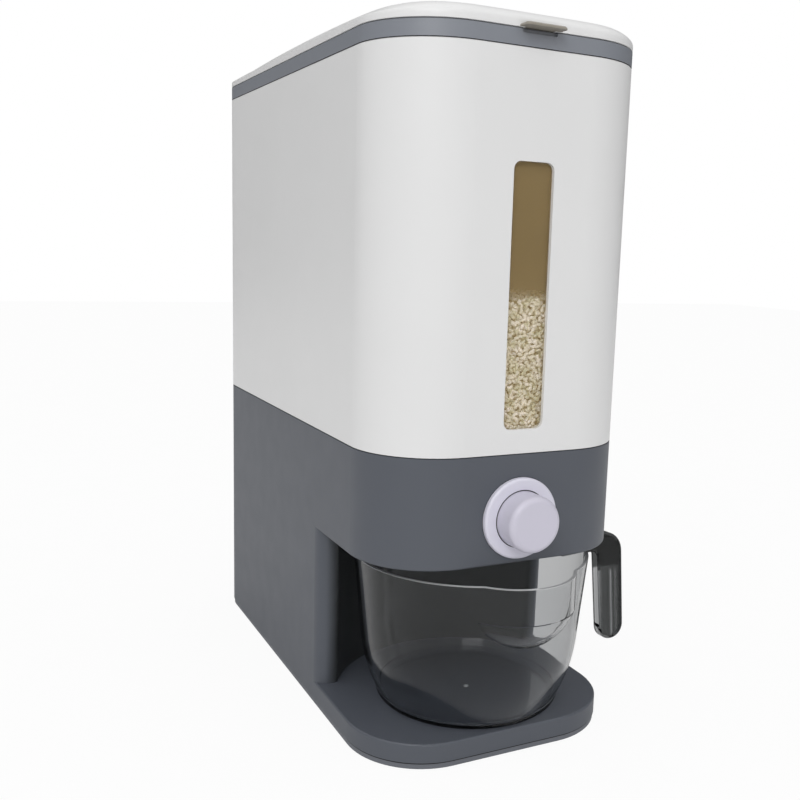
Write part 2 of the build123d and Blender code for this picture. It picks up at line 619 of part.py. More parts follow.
def gate_guide():
    """Fixed guide on the hood's floor: nozzle, rails, screw ears and the spring's seat."""
    rail_out = RAIL_IN + RAIL_T
    back = OUTLET_REAR + GATE_COVER + TRAVEL
    guide = block(-rail_out, rail_out, SEAT_Y, back, PANEL_TOP, PANEL_TOP + GUIDE_T)
    gap = 2 * (NOZZLE_T - PANE_GAP)
    guide += slot_block(
        OUTLET_W + gap, OUTLET_L + gap, OUTLET_R + NOZZLE_T - PANE_GAP, BAY_TOP, PANEL_TOP
    )
    for side in (-1, 1):
        ends = sorted((side * RAIL_IN, side * rail_out))
        guide += block(ends[0], ends[1], SEAT_Y, back, PANEL_TOP, PANEL_TOP + RAIL_H)
    for x, y in EAR_PLACES:
        root = math.copysign(RAIL_IN + RAIL_T / 2, x)
        ear = rod_z(EAR_W / 2, EAR_LOW, EAR_LOW + GUIDE_T, x, y)
        ear += block(min(x, root), max(x, root), y - EAR_W / 2, y + EAR_W / 2, EAR_LOW, EAR_LOW + GUIDE_T)
        guide += ear
        guide -= rod_z(SCREW_R + HEAD_GAP, EAR_LOW, EAR_LOW + GUIDE_T, x, y)
    guide += block(-SEAT_W / 2, SEAT_W / 2, SEAT_Y, SEAT_Y + SEAT_T, PANEL_TOP, BUTTON_Z + SEAT_RISE)
    guide -= rod_y(ROD_R + SLIDE_GAP, SEAT_Y, SEAT_Y + SEAT_T, z=BUTTON_Z)
    return guide - slot_block(OUTLET_W, OUTLET_L, OUTLET_R, BAY_TOP, PANEL_TOP + GUIDE_T)


def guide_screws():
    """Screws that hold the guide's ears on the hood's posts."""
    head_low = EAR_LOW + GUIDE_T
    return group(
        rod_z(SCREW_HEAD_R, head_low, head_low + SCREW_HEAD_H, x, y)
        + rod_z(SCREW_R, PANEL_TOP + PILOT_GAP, head_low, x, y)
        for x, y in EAR_PLACES
    )


def return_spring():
    """Coil spring between the cap and its seat, which pushes the button out again."""
    front = CAP_FACE_Y + CAP_EDGE_R + SPRING_WIRE / 2 + PANE_GAP
    length = SEAT_Y - PANE_GAP - SPRING_WIRE / 2 - front
    path = Helix(pitch=length / SPRING_TURNS, height=length, radius=SPRING_R)
    place = Plane((0, front, BUTTON_Z), x_dir=(1, 0, 0), z_dir=(0, 1, 0))
    section = Plane(path @ 0, z_dir=path % 0) * RegularPolygon(SPRING_WIRE / 2, 6)
    return place * sweep(section, path=path, is_frenet=True)


# --- measuring cup ----------------------------------------------------------------------------
def cup_body(inset):
    """The cup's round body, drawn in by inset."""
    rim = (CUP_RIM_R - inset, CUP_H)
    waist = (CUP_WAIST_R - inset, CUP_WAIST_Z)
    belly = (CUP_BELLY_R - inset, CUP_BELLY_Z)
    heel = (CUP_HEEL_R - inset, CUP_HEEL_Z + inset / 2)
    foot = (CUP_FLOOR_R - inset, inset)
    knee = (CUP_KNEE_R - inset, CUP_KNEE_Z + inset)
    with BuildSketch(Plane.XZ) as profile:
        with BuildLine():
            Polyline((0, CUP_H), (0, inset), foot)
            ThreePointArc(foot, knee, heel)
            ThreePointArc(heel, belly, waist)
            Polyline(waist, rim, (0, CUP_H))
        make_face()
    return revolve(profile.sketch, Axis.Z)


def spout_body(inset):
    """The spout's round bulge, drawn in by inset."""
    radius = SPOUT_R - inset
    low = SPOUT_Z - SPOUT_DROP + inset
    slant = math.radians(45)
    curve_mid = (radius * math.cos(slant), SPOUT_Z - (SPOUT_Z - low) * math.sin(slant))
    with BuildSketch(Plane.XZ) as profile:
        with BuildLine():
            Polyline((0, low), (0, CUP_H), (radius, CUP_H), (radius, SPOUT_Z))
            ThreePointArc((radius, SPOUT_Z), curve_mid, (0, low))
        make_face()
    return Pos(0, -SPOUT_OFF) * revolve(profile.sketch, Axis.Z)


def handle_profile():
    """Side view of the handle: a level arm that bends down into the grip."""
    outer_top = HANDLE_REACH - HANDLE_LEAN
    inner_top = outer_top - GRIP_DEPTH
    inner_foot = HANDLE_REACH - GRIP_DEPTH
    arm_low = HANDLE_TOP - ARM_DEPTH
    points = [
        (CUP_WAIST_R, HANDLE_TOP), (outer_top, HANDLE_TOP), (HANDLE_REACH, HANDLE_FOOT),
        (inner_foot, HANDLE_FOOT), (inner_top, arm_low), (CUP_WAIST_R, arm_low),
    ]
    foot_r = (GRIP_DEPTH - GRIP_FOOT_FLAT) / 2
    side = make_face(Polyline(*points, close=True))
    for point, radius in zip(points[1:5], (HANDLE_BEND_R, foot_r, foot_r, HANDLE_BEND_IN_R)):
        side = fillet(side.vertices().sort_by_distance((*point, 0))[0], radius)
    return side


def handle():
    """Channel handle: hollowed from the side that faces the cup."""
    upright = Plane((0, 0, 0), x_dir=(1, 0, 0), z_dir=(0, -1, 0))
    side = handle_profile()
    body = extrude(upright * side, HANDLE_W / 2, both=True)
    under_arm = block(
        0, HANDLE_REACH - HANDLE_LEAN - GRIP_DEPTH + HANDLE_BEND_IN_R, -HANDLE_W, HANDLE_W,
        0, HANDLE_TOP - ARM_DEPTH + HANDLE_BEND_IN_R,
    )
    rims = body.edges().filter_by(lambda e: abs(e.center().Y) > HANDLE_W / 2 - TOL)
    outer = [e for e in rims if e.center().X > CUP_RIM_R and not under_arm.is_inside(e.center())]
    body = fillet(outer, HANDLE_EDGE_R)
    channel = make_hull(offset(side, -HANDLE_T).edges())
    return body - extrude(upright * channel, HANDLE_W / 2 - HANDLE_T, both=True)


def measuring_cup():
    """Clear cup in one moulding: round body, spout to the front, channel handle to the right."""
    outer = cup_body(0) + spout_body(0)
    inner = cup_body(CUP_T) + spout_body(CUP_T)
    cup = outer + (handle() - cup_body(CUP_T / 2))
    cup -= inner
    return Pos(CUP_ASIDE, OUTLET_Y - CUP_AHEAD, CUP_LOW) * Rot(0, 0, CUP_TURN) * cup


PARTS = {
    "base_housing": base_housing,
    "base_plate": base_plate,
    "foot_pads": foot_pads,
    "plate_screws": plate_screws,
    "bin_shell": bin_shell,
    "bin_screws": bin_screws,
    "hopper_floor": hopper_floor,
    "window_pane": window_pane,
    "rim_collar": rim_collar,
    "hinge_pin": hinge_pin,
    "lid_top": lid_top,
    "lid_liner": lid_liner,
    "lid_seal": lid_seal,
    "lid_tab": lid_tab,
    "button_ring": button_ring,
    "ring_nut": ring_nut,
    "button_cap": button_cap,
    "push_rod": push_rod,
    "gate_plate": gate_plate,
    "gate_screw": gate_screw,
    "gate_guide": gate_guide,
    "guide_screws": guide_screws,
    "return_spring": return_spring,
    "measuring_cup": measuring_cup,
}

os.makedirs("parts", exist_ok=True)
for name, build in PARTS.items():
    export_step(build(), f"parts/{name}.step")
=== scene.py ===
import math
import random

import bmesh
import bpy
from mathutils import Matrix, Vector


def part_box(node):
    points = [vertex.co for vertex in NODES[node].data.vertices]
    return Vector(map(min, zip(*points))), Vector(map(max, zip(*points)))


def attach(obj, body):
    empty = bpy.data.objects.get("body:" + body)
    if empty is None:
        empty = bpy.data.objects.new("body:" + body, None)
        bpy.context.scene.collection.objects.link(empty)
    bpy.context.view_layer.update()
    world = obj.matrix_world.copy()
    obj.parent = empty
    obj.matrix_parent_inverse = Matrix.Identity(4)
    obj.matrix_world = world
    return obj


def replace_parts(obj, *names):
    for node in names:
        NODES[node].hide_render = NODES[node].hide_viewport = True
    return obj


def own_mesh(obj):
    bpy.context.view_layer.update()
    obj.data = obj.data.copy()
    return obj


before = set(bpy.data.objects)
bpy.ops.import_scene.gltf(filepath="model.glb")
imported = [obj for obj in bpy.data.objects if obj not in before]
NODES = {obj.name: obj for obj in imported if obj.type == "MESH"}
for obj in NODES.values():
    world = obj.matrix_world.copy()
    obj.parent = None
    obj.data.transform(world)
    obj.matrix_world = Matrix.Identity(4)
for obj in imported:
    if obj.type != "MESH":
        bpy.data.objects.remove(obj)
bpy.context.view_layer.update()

# ---------------------------------------------------------------- camera
CAMERA_AT = (-0.28004, -0.61324, 0.29030)
YAW, PITCH, ROLL = 0.480412, 0.166025, -0.033001    # radians
FOCAL_PX = 980.39
CENTRE_PX = (452.93, 411.34)
IMAGE_PX = 800
SENSOR_MM = 36.0
NEAR_CLIP = 0.01


def add_object(name, data):
    """A new object in the scene."""
    thing = bpy.data.objects.new(name, data)
    bpy.context.scene.collection.objects.link(thing)
    return thing


def make_camera():
    """The photograph's camera, as solved from the three lengths that it prints."""
    level = math.cos(PITCH)
    forward = Vector((math.sin(YAW) * level, math.cos(YAW) * level, -math.sin(PITCH)))
    right = Vector((math.cos(YAW), -math.sin(YAW), 0))
    up = right.cross(forward)
    x_axis = math.cos(ROLL) * right - math.sin(ROLL) * up
    y_axis = math.sin(ROLL) * right + math.cos(ROLL) * up
    data = bpy.data.cameras.new("camera")
    data.sensor_width = SENSOR_MM
    data.lens = FOCAL_PX * SENSOR_MM / IMAGE_PX
    data.shift_x = -(CENTRE_PX[0] - IMAGE_PX / 2) / IMAGE_PX
    data.shift_y = (CENTRE_PX[1] - IMAGE_PX / 2) / IMAGE_PX
    data.clip_start = NEAR_CLIP
    camera = add_object("camera", data)
    turn = Matrix((x_axis, y_axis, -forward)).transposed()
    camera.matrix_world = Matrix.Translation(CAMERA_AT) @ turn.to_4x4()
    bpy.context.scene.camera = camera


# ---------------------------------------------------------------- colours and nodes
WHITE = (1.0, 1.0, 1.0, 1.0)


def linear(rgb):
    """A colour written as 0 to 255 sRGB, as linear red, green, blue, alpha."""
    out = []
    for c in rgb:
        c /= 255
        out.append(c / 12.92 if c <= 0.04045 else ((c + 0.055) / 1.055) ** 2.4)
    return (*out, 1.0)


def shade(colour, factor):
    """A linear colour made darker or lighter."""
    return (*[min(1.0, c * factor) for c in colour[:3]], 1.0)


class Nodes:
    """A short way to build one tree of shader nodes."""

    def __init__(self, tree, out):
        self.tree = tree
        self.tree.nodes.clear()
        self.out = self.add(out)

    def feed(self, socket, value):
        """Gives a socket another node's output, or else a plain value."""
        if isinstance(value, bpy.types.NodeSocket):
            self.tree.links.new(value, socket)
        else:
            socket.default_value = value

    def add(self, kind, sockets=None, **settings):
        """A node with its settings, and what each named or numbered socket is fed."""
        node = self.tree.nodes.new(kind)
        for key, value in settings.items():
            setattr(node, key, value)
        for key, value in (sockets or {}).items():
            self.feed(node.inputs[key], value)
        return node

    def maths(self, operation, *values, **settings):
        node = self.add("ShaderNodeMath", dict(enumerate(values)), operation=operation, **settings)
        return node.outputs[0]

    def dot(self, vector, direction):
        node = self.add("ShaderNodeVectorMath", {0: vector, 1: direction}, operation="DOT_PRODUCT")
        return node.outputs["Value"]

    def remap(self, value, low, high, low_in=0.3, high_in=0.7, **settings):
        """From low to high, as the value goes from low_in to high_in."""
        sockets = {0: value, 1: low_in, 2: high_in, 3: low, 4: high}
        return self.add("ShaderNodeMapRange", sockets, **settings).outputs[0]

    def mix(self, share, first, second):
        """From one shader to another."""
        return self.add("ShaderNodeMixShader", {0: share, 1: first, 2: second}).outputs[0]


class Look(Nodes):
    """The nodes of one material, placed by the object's own coordinates."""

    def __init__(self, name):
        self.material = bpy.data.materials.new(name)
        self.material.use_nodes = True
        super().__init__(self.material.node_tree, "ShaderNodeOutputMaterial")
        self.place = self.add("ShaderNodeTexCoord").outputs["Object"]

    def along(self, axis):
        """The place along the axis X, Y or Z."""
        return self.add("ShaderNodeSeparateXYZ", {0: self.place}).outputs[axis]

    def noise(self, scale, detail=2.0, rough=0.5, place=None):
        place = place or self.place
        sockets = {"Vector": place, "Scale": scale, "Detail": detail, "Roughness": rough}
        return self.add("ShaderNodeTexNoise", sockets).outputs["Fac"]

    def cells(self, scale, output):
        sockets = {"Vector": self.place, "Scale": scale}
        return self.add("ShaderNodeTexVoronoi", sockets).outputs[output]

    def tones(self, value, low, high):
        """From one colour to another; either may be another node's output."""
        sockets = {"Factor": value, 6: low, 7: high}
        return self.add("ShaderNodeMix", sockets, data_type="RGBA").outputs[2]

    def mottled(self, value, base, low, high, low_in=0.3, high_in=0.7):
        """A colour times low to high, as the value goes from low_in to high_in."""
        share = self.remap(value, 0.0, 1.0, low_in, high_in)
        return self.tones(share, shade(base, low), shade(base, high))

    def bump(self, height, depth, strength=1.0):
        sockets = {"Height": height, "Distance": depth, "Strength": strength}
        return self.add("ShaderNodeBump", sockets).outputs["Normal"]

    def principled(self, **sockets):
        """The main shader; a socket's spaces are written as underscores."""
        named = {key.replace("_", " "): value for key, value in sockets.items()}
        return self.add("ShaderNodeBsdfPrincipled", named).outputs[0]

    def finish(self, shader):
        self.feed(self.out.inputs["Surface"], shader)
        return self.material


# ---------------------------------------------------------------- opaque materials
BAY_AXIS = (0.0, -0.100, 0.0)    # upright axis of the hollow that the cup stands in
BAY_EDGE = (0.0792, 0.0860)      # its radius, and where its painted shade has faded out on the wings
BAY_LEVEL = (0.06575, 0.0501)    # its middle height, and how far it reaches up and down
LID_SEAM_SHADOW = (0.40172, 0.0002)     # the same for the band's upper edge, where the lid's shadow is painted
SEAM_SHADE = 0.4


def at_height(t, middle, half):
    """1 up to so much over or under a height."""
    return t.maths("COMPARE", t.along("Z"), middle, half)


def bay_painted_shade(t):
    """1 on the hollow wall behind the cup, where shade is painted, fading out round the wings'
    edges.
    """
    flat = t.add("ShaderNodeVectorMath", {0: t.place, 1: (1.0, 1.0, 0.0)}, operation="MULTIPLY")
    away = t.add("ShaderNodeVectorMath", {0: flat.outputs[0], 1: BAY_AXIS}, operation="DISTANCE")
    near = t.remap(away.outputs["Value"], 1.0, 0.0, *BAY_EDGE)
    return t.maths("MULTIPLY", near, at_height(t, *BAY_LEVEL))


def moulded(
    name, colour, rough=(0.38, 0.46), depth=0.00004, mottle=0.03, specular=0.5, bay_shade=None, seam=None,
):
    """Moulded plastic: a fine spark-eroded grain, and slow mottling of its tone and gloss."""
    t = Look(name)
    base = linear(colour)
    tone = t.mottled(t.noise(14.0, detail=3.0), base, 1 - mottle, 1 + mottle)
    # painted shade: the hollow wall behind the cup gets a darker tone where the hood shades it
    if bay_shade:
        tone = t.tones(bay_painted_shade(t), tone, linear(bay_shade))
    # painted shadow: the band's upper edge is darkened where the lid shades it
    if seam:
        tone = t.tones(at_height(t, *seam), tone, shade(base, SEAM_SHADE))
    return t.finish(t.principled(
        Base_Color=tone,
        Roughness=t.remap(t.noise(60.0, detail=4.0), *rough),
        Specular_IOR_Level=specular,
        Normal=t.bump(t.noise(1600.0, rough=0.6), depth),
    ))


def brushed(name, colour, rough=(0.22, 0.36)):
    """Plain steel with fine drawn lines."""
    t = Look(name)
    drawn = t.add("ShaderNodeMapping", {"Vector": t.place, "Scale": (1.0, 1.0, 9.0)}).outputs[0]
    lines = t.noise(900.0, place=drawn)
    return t.finish(t.principled(
        Base_Color=t.mottled(lines, linear(colour), 0.86, 1.06),
        Metallic=1.0,
        Roughness=t.remap(lines, *rough),
        Normal=t.bump(lines, 0.00002),
    ))


def soft_rubber(name, colour):
    """Dull rubber with a fine grain."""
    t = Look(name)
    grain = t.noise(2200.0, detail=3.0, rough=0.65)
    return t.finish(t.principled(
        Base_Color=t.mottled(t.noise(40.0), linear(colour), 0.93, 1.07),
        Roughness=t.remap(grain, 0.66, 0.8),
        Specular_IOR_Level=0.35,
        Normal=t.bump(grain, 0.00006),
    ))


def rice_skin(name, colour):
    """Grain of rice: pale and slightly waxy, each with its own tone."""
    t = Look(name)
    cells = t.cells(260.0, "Color")
    return t.finish(t.principled(
        Base_Color=t.mottled(cells, linear(colour), 0.62, 1.3, low_in=0.15, high_in=0.85),
        Roughness=t.remap(t.noise(900.0), 0.32, 0.5),
        Specular_IOR_Level=0.45,
        Normal=t.bump(t.noise(1500.0), 0.00012),
    ))


def rice_bed(name, colour):
    """Bulk of the rice: close-packed grains as cells, with painted shade between them."""
    t = Look(name)
    cells = t.cells(330.0, "Distance")
    return t.finish(t.principled(
        Base_Color=t.mottled(cells, linear(colour), 1.0, 0.35, low_in=0.1, high_in=0.75),
        Roughness=t.remap(t.noise(600.0), 0.4, 0.55),
        Specular_IOR_Level=0.4,
        Normal=t.bump(cells, -0.0008),
    ))


# ---------------------------------------------------------------- clear materials
CUP_SKIN = (250, 251, 252)
CUP_IOR = 1.3
CUP_ROUGH = (0.012, 0.04)
RIM_HIGHLIGHT_FROM = (0.1076, 0.1078)      # height of the cup's rim, made a little white: a painted highlight
RIM_CLEAR = 0.62                 # how much of the light the rim still lets through
HANDLE_LEAN = 0.092              # the handle leans inwards by this much of its height
HANDLE_FROM = (0.1085, 0.1115)   # across the object at the foot: behind the handle's inner face
ARM_FROM = (0.074, 0.079)        # across the object, where the cup's rim becomes the arm
ARM_OVER = (0.078, 0.080)        # height of the arm's underside
WEB_HIGHLIGHTS = (0.1189, 0.1229)   # across at the foot: painted highlight lines, left clear, where the channel's web begins
WEB_HIGHLIGHT_HALVES = (0.0007, 0.0003)     # half of each line's width
FRONT_WALL_SHADE = (-0.0965, -0.0950)  # the channel's wall nearer the front gets the darker painted shade
REAR_SHADE_SHARE = 0.38                # how much of the front wall's painted shade the rear one has


def handle_painted_shade(t):
    """1 where shade is painted: in the handle behind its inner face, and in the arm that carries
    it, less the painted highlight lines.
    """
    lean = t.dot(t.place, (1.0, 0.0, HANDLE_LEAN))
    behind = t.remap(lean, 0.0, 1.0, *HANDLE_FROM)
    dark = t.maths("MULTIPLY", behind, t.remap(t.along("Y"), 1.0, REAR_SHADE_SHARE, *FRONT_WALL_SHADE))
    for corner, half in zip(WEB_HIGHLIGHTS, WEB_HIGHLIGHT_HALVES):
        dark = t.maths("SUBTRACT", dark, t.maths("COMPARE", lean, corner, half), use_clamp=True)
    beside = t.remap(t.along("X"), 0.0, 1.0, *ARM_FROM)
    over = t.remap(t.along("Z"), 0.0, 1.0, *ARM_OVER)
    return t.maths("MAXIMUM", dark, t.maths("MULTIPLY", beside, over))


def clear_plastic(name, smoke, density, handle):
    """Smoky clear moulding, darker with depth; painted shade at the handle, painted highlights on
    its web and at the rim; with waviness, haze and marks.

    Lamps shine through it, so it casts only a faint shadow.
    """
    t = Look(name)
    skin = linear(CUP_SKIN)
    shader = t.principled(
        Base_Color=t.tones(handle_painted_shade(t), t.mottled(t.noise(25.0), skin, 0.98, 1.0), linear(handle)),
        Roughness=t.remap(t.noise(90.0, detail=5.0, rough=0.6), *CUP_ROUGH),
        IOR=CUP_IOR,
        # painted highlight: the rim lets less light through, so it shows as a pale line
        Transmission_Weight=t.remap(t.along("Z"), 1.0, RIM_CLEAR, *RIM_HIGHLIGHT_FROM),
        Normal=t.bump(t.noise(45.0), 0.00012, strength=0.3),
    )
    depth = t.add("ShaderNodeVolumeAbsorption", {"Color": linear(smoke), "Density": density})
    t.feed(t.out.inputs["Volume"], depth.outputs[0])
    shadow = t.add("ShaderNodeLightPath").outputs["Is Shadow Ray"]
    unlit = t.add("ShaderNodeBsdfTransparent", {"Color": skin}).outputs[0]
    return t.finish(t.mix(shadow, shader, unlit))


def hazy(name, colour, alpha):
    """A hazy surface that can be seen through in part."""
    t = Look(name)
    return t.finish(t.principled(
        Base_Color=t.mottled(t.noise(18.0, detail=3.0), linear(colour), 0.94, 1.06),
        Roughness=t.remap(t.noise(120.0, detail=4.0), 0.1, 0.18),
        Specular_IOR_Level=0.5,
        Alpha=alpha,
        Normal=t.bump(t.noise(60.0), 0.0001, strength=0.3),
    ))


# ---------------------------------------------------------------- stage and light
FLOOR_SIZE = 8.0
FLOOR_TONES = (0.88, 0.92)
FLOOR_GLOW = 0.92                # share of the floor that shows as backdrop; the rest takes shadows
ROOM_BASE = 0.137
ROOM_LOBES = (                   # direction and strength of the room's soft bright sides
    ((-0.80, 0.10, 0.59), 0.17),
    ((0.0, -0.35, 0.94), 0.91),
)
LOBE_SPREAD = (0.1, 1.0)
THROUGH_CLEAR = 0.55             # the backdrop's brightness through clear plastic
KEY_AT, KEY_AIM = (-0.95, -1.35, 1.35), (0.0, 0.0, 0.2)
KEY_SIZE, KEY_WATTS = 0.9, 9.4


def backdrop_view(t):
    """1 for rays that show the backdrop, and its brightness: 1, or less through clear plastic."""
    path = t.add("ShaderNodeLightPath").outputs
    seen = t.maths("MAXIMUM", path["Is Camera Ray"], path["Is Transmission Ray"])
    return seen, t.remap(path["Is Transmission Ray"], 1.0, THROUGH_CLEAR, 0.0, 1.0)


def make_floor():
    """Pale paper that keeps the object's shadow and otherwise shows as the white backdrop."""
    half = FLOOR_SIZE / 2
    corners = [(-half, -half, 0), (half, -half, 0), (half, half, 0), (-half, half, 0)]
    mesh = bpy.data.meshes.new("floor")
    mesh.from_pydata(corners, [], [(0, 1, 2, 3)])
    floor = add_object("floor", mesh)
    t = Look("floor_paper")
    paper = t.add("ShaderNodeBsdfDiffuse", {"Color": t.mottled(t.noise(30.0), WHITE, *FLOOR_TONES)})
    seen, bright = backdrop_view(t)
    backdrop = t.add("ShaderNodeEmission", {"Strength": bright})
    share = t.maths("MULTIPLY", seen, FLOOR_GLOW)
    mesh.materials.append(t.finish(t.mix(share, paper.outputs[0], backdrop.outputs[0])))


def make_world():
    """A plain room, brighter overhead and to the left, that shows as a white backdrop."""
    world = bpy.data.worlds.new("studio")
    bpy.context.scene.world = world
    world.use_nodes = True
    t = Nodes(world.node_tree, "ShaderNodeOutputWorld")
    towards = t.add("ShaderNodeTexCoord").outputs["Generated"]
    light = ROOM_BASE
    for direction, weight in ROOM_LOBES:
        facing = t.dot(towards, direction)
        lobe = t.remap(facing, 0.0, weight, *LOBE_SPREAD, interpolation_type="SMOOTHSTEP")
        light = t.maths("ADD", lobe, light)
    seen, bright = backdrop_view(t)
    room = t.add("ShaderNodeBackground", {"Color": WHITE, "Strength": light})
    backdrop = t.add("ShaderNodeBackground", {"Color": WHITE, "Strength": bright})
    t.feed(t.out.inputs["Surface"], t.mix(seen, room.outputs[0], backdrop.outputs[0]))


def make_key():
    """One soft lamp from the front left."""
    data = bpy.data.lights.new("key", "AREA")
    data.shape = "RECTANGLE"
    data.size = data.size_y = KEY_SIZE
    data.energy = KEY_WATTS
    lamp = add_object("key", data)
    turn = (Vector(KEY_AT) - Vector(KEY_AIM)).to_track_quat("Z", "Y").to_matrix()
    lamp.matrix_world = Matrix.Translation(KEY_AT) @ turn.to_4x4()


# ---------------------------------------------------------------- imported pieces
def dress(material, *names):
    """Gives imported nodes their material."""
    for name in names:
        slots = NODES[name].data.materials
        for i in range(len(slots)):
            slots[i] = material


def dress_nodes():
    dress(
        moulded("white_shell", (228, 228, 228), rough=(0.34, 0.42), mottle=0.008, depth=0.00002),
        "bin_shell", "lid_top",
    )
    dress(
        # the bay tone is painted shade on the hollow behind the cup
        moulded("grey_shell", (82, 86, 94), rough=(0.42, 0.46), mottle=0.01, bay_shade=(50, 52, 53)),
        "base_housing",
    )
    dress(
        moulded(
            "band_grey", (125, 129, 137), rough=(0.38, 0.42), mottle=0.015, depth=0.00001,
            specular=1.0, seam=LID_SEAM_SHADOW,
        ),
        "rim_collar",
    )
    dress(
        moulded("inner_white", (214, 213, 210), mottle=0.015),
        "hopper_floor", "lid_liner", "ring_nut", "push_rod", "gate_plate", "gate_guide",
    )
    dress(
        moulded("ring_white", (220, 218, 231), rough=(0.3, 0.38), mottle=0.01, depth=0.00001),
        "button_ring",
    )
    dress(
        moulded("button_white", (203, 200, 214), rough=(0.3, 0.38), mottle=0.01, depth=0.00001),
        "button_cap",
    )
    # painted shade: the tab's tone is darkened to the grey-beige of a white lip's shaded underside
    dress(moulded("tab_beige", (146, 140, 130), rough=(0.36, 0.44), mottle=0.02), "lid_tab")
    # partly painted light: the plate's own grey is raised to stand in for light bounced up from the
    # floor
    dress(moulded("plate_grey", (104, 107, 114), rough=(0.42, 0.52), mottle=0.03), "base_plate")
    dress(
        brushed("steel", (176, 178, 182)),
        "plate_screws", "bin_screws", "hinge_pin", "gate_screw", "guide_screws",
    )
    dress(brushed("spring_steel", (186, 188, 194), rough=(0.16, 0.26)), "return_spring")
    dress(soft_rubber("seal_rubber", (206, 205, 202)), "lid_seal")
    dress(soft_rubber("pad_rubber", (40, 40, 41)), "foot_pads")
    dress(
        # the handle's grey tint is painted shade, standing for the dark reflections in it
        clear_plastic("clear_cup", smoke=(40, 42, 44), density=55.0, handle=(108, 110, 110)),
        "measuring_cup",
    )
    dress(hazy("clear_pane", (234, 201, 140), alpha=0.17), "window_pane")


# ---------------------------------------------------------------- building pieces
WELD = 1e-6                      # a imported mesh's faces are joined where they meet this closely
HALF_WIDTH, FRONT, REAR = 0.08255, -0.160, 0.160
FRONT_CORNER, REAR_CORNER = 0.047, 0.025


def put(name, bm, material, body, smooth=True):
    """Makes a piece of a mesh, which rides on a body."""
    mesh = bpy.data.meshes.new(name)
    bm.to_mesh(mesh)
    bm.free()
    for face in mesh.polygons:
        face.use_smooth = smooth
    mesh.materials.append(material)
    piece = add_object(name, mesh)
    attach(piece, body)
    return piece


def material_of(node):
    return NODES[node].data.materials[0]


def copied(node, weld=True):
    """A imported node's mesh, to reshape in a piece of its own."""
    bm = bmesh.new()
    bm.from_mesh(NODES[node].data)
    if weld:
        bmesh.ops.remove_doubles(bm, verts=bm.verts, dist=WELD)
    return bm


def cut(bm, point, normal, snap, **settings):
    """Cuts a mesh along a plane, and gives the edges of the cut."""
    found = bmesh.ops.bisect_plane(
        bm, geom=bm.verts[:] + bm.edges[:] + bm.faces[:], dist=snap,
        plane_co=point, plane_no=normal, **settings,
    )
    return [e for e in found["geom_cut"] if isinstance(e, bmesh.types.BMEdge)]


def bridge(bm, low, high):
    """Faces between two loops of as many points."""
    for i in range(len(low)):
        k = (i + 1) % len(low)
        bm.faces.new((low[i], low[k], high[k], high[i]))


def circle(radius, steps):
    turns = [2 * math.pi * i / steps for i in range(steps)]
    return [(radius * math.cos(a), radius * math.sin(a)) for a in turns]


def round_plan(corners, steps):
    """Points round a plan with four rounded corners, each given as its centre and radius."""
    points = []
    for quarter, (cx, cy, radius) in enumerate(corners):
        for i in range(steps + 1):
            angle = math.radians(90 * (quarter + i / steps))
            points.append((cx + radius * math.cos(angle), cy + radius * math.sin(angle)))
    return points


# ---------------------------------------------------------------- painted shade in seams and gaps
SEAM_DEEP = 0.0002
SEAMS = (                        # name, height, how far in it lies, half of its height
    ("seam_collar", 0.3932, 0.0001, 0.0002),
    ("seam_bin", 0.1788, 0.0001, 0.0002),
    ("seam_plate", 0.0036, 0.00055, 0.00045),
)
BUTTON_AT = 0.1423               # height of the button's axis
BUTTON_GAPS = (                  # name, where its front lies, inner and outer radius
    ("seam_button", -0.16325, 0.01615, 0.0166),
    ("seam_ring", -0.16008, 0.0229, 0.0234),
)


def body_plan(inset, steps=30):
    """Outline of the body seen from above, moved inwards."""
    front, rear = FRONT_CORNER - inset, REAR_CORNER - inset
    side = HALF_WIDTH - inset
    corners = (
        (side - rear, REAR - inset - rear, rear),
        (rear - side, REAR - inset - rear, rear),
        (front - side, FRONT + inset + front, front),
        (side - front, FRONT + inset + front, front),
    )
    return round_plan(corners, steps)


def closed_ring(name, outlines, material):
    """A ring with four sides, each of whose edges follows one outline."""
    bm = bmesh.new()
    loops = [[bm.verts.new(point) for point in outline] for outline in outlines]
    for loop, following in zip(loops, loops[1:] + loops[:1]):
        bridge(bm, loop, following)
    bmesh.ops.recalc_face_normals(bm, faces=bm.faces)
    put(name, bm, material, "base", smooth=False)


def seam_shadow(name, z, inset, half, material):
    """Painted shade: a dark strip at the bottom of a narrow seam all round the body."""
    corners = ((0.0, half), (0.0, -half), (SEAM_DEEP, -half), (SEAM_DEEP, half))
    outlines = [[(x, y, z + up) for x, y in body_plan(inset + deep)] for deep, up in corners]
    closed_ring(name, outlines, material)


def button_shadow(name, front, inner, outer, material, steps=96):
    """Painted shade: a dark line round the button's axis, just proud of the face that lies behind
    it.
    """
    back = front + SEAM_DEEP
    corners = ((inner, front), (outer, front), (outer, back), (inner, back))
    outlines = [[(x, y, BUTTON_AT + z) for x, z in circle(radius, steps)] for radius, y in corners]
    closed_ring(name, outlines, material)


def make_shadows(material):
    for name, z, inset, half in SEAMS:
        seam_shadow(name, z, inset, half, material)
    for name, front, inner, outer in BUTTON_GAPS:
        button_shadow(name, front, inner, outer, material)


# ---------------------------------------------------------------- lid
LID_CELL = (0.006, 0.008)        # the roof is divided this finely before it is bent
LID_SNAP = 1e-7
LID_LOWER = (0.0070, 0.0030)     # how far the roof falls at the sides and at the ends
LID_FALL = 6                     # power of the fall: level in the middle, steep near the edges
LID_RAMP = (0.4045, 0.4150)      # heights between which the fall sets in
CREASE = math.radians(35)


def eased(value, low, high):
    """From 0 at low to 1 at high, with a soft start and end."""
    share = min(1.0, max(0.0, (value - low) / (high - low)))
    return share * share * (3 - 2 * share)


